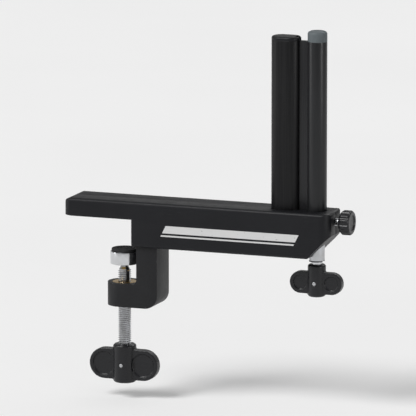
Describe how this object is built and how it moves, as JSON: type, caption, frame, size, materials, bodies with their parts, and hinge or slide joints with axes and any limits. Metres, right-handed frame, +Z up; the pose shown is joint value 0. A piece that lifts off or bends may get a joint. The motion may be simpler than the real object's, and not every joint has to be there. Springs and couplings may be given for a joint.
{
  "type": "table tennis net clamp",
  "caption": "Screw clamp that holds one end of a table tennis net at the table's side edge, with an upright post, a height screw and a lock screw.",
  "frame": {"origin": "on the playing surface, at the side edge of the table, on the net line: a point of the upper pad's underside", "axes": "+X outward from the side edge, along the net line; +Y along the side edge, from the front cover to the rear cover; +Z up from the playing surface"},
  "size_m": [0.2295, 0.034, 0.2825],
  "materials": {
    "cast_black": "black powder coat, fine grain",
    "moulded_black": "fine-grained black moulding with a plain white band",
    "post_black": "satin black coated tube",
    "knob_black": "semi-gloss black moulding",
    "cap_plastic": "matt dark grey",
    "grey_cap": "satin grey moulding",
    "rubber": "matt black rubber",
    "bright_steel": "bright plated steel",
    "zinc_steel": "zinc plated steel",
    "dark_steel": "blackened spring steel",
    "brass": "turned brass",
    "nylon": "natural nylon"
  },
  "bodies": {
    "clamp_body": {"c_frame": "cast_black", "upper_pad": "rubber", "front_cover": "moulded_black", "rear_cover": "moulded_black", "cover_screws": "zinc_steel", "main_post": "post_black", "post_plug": "zinc_steel", "post_screws": "zinc_steel", "post_cap": "moulded_black", "clamp_nut": "brass", "height_bush": "zinc_steel", "thrust_washer": "brass"},
    "column": {"height_column": "post_black", "height_nut": "brass", "nut_grub_screw": "zinc_steel", "column_cap": "grey_cap"},
    "height_spindle": {"height_screw": "bright_steel", "height_clip": "dark_steel", "height_knob": "knob_black", "height_knob_pin": "zinc_steel", "height_knob_cap": "cap_plastic"},
    "foot": {"pressure_foot": "bright_steel", "foot_pad": "rubber", "foot_retainer": "brass"},
    "clamp_spindle": {"clamp_screw": "bright_steel", "clamp_knob": "knob_black", "clamp_knob_pin": "zinc_steel", "clamp_knob_cap": "cap_plastic"},
    "lock_button": {"lock_tip": "nylon"},
    "lock_spindle": {"lock_screw": "bright_steel", "lock_knob": "knob_black"}
  },
  "joints": [
    {"name": "clamp_travel", "type": "slide", "parent": "clamp_body", "child": "foot", "axis": [0, 0, 1], "range_m": [-0.012, 0.013]},
    {"name": "clamp_turn", "type": "hinge", "parent": "foot", "child": "clamp_spindle", "pos_m": [-0.009, 0, -0.06], "axis": [0, 0, 1], "range_deg": [-2881, 3121]},
    {"name": "height_travel", "type": "slide", "parent": "clamp_body", "child": "column", "axis": [0, 0, 1], "range_m": [-0.004, 0.004]},
    {"name": "height_turn", "type": "hinge", "parent": "clamp_body", "child": "height_spindle", "pos_m": [0.148, 0, -0.02], "axis": [0, 0, 1], "range_deg": [-1153, 1153]},
    {"name": "lock_travel", "type": "slide", "parent": "clamp_body", "child": "lock_button", "axis": [1, 0, 0], "range_m": [0, 0.0025]},
    {"name": "lock_turn", "type": "hinge", "parent": "lock_button", "child": "lock_spindle", "pos_m": [0.163, 0, 0.0065], "axis": [1, 0, 0], "range_deg": [0, 901]}
  ],
  "couplings": [
    {"joint": "clamp_turn", "follows": "clamp_travel", "rad_per_m": 4188.8},
    {"joint": "height_turn", "follows": "height_travel", "rad_per_m": -5026.5},
    {"joint": "lock_turn", "follows": "lock_travel", "rad_per_m": 6283.2}
  ]
}
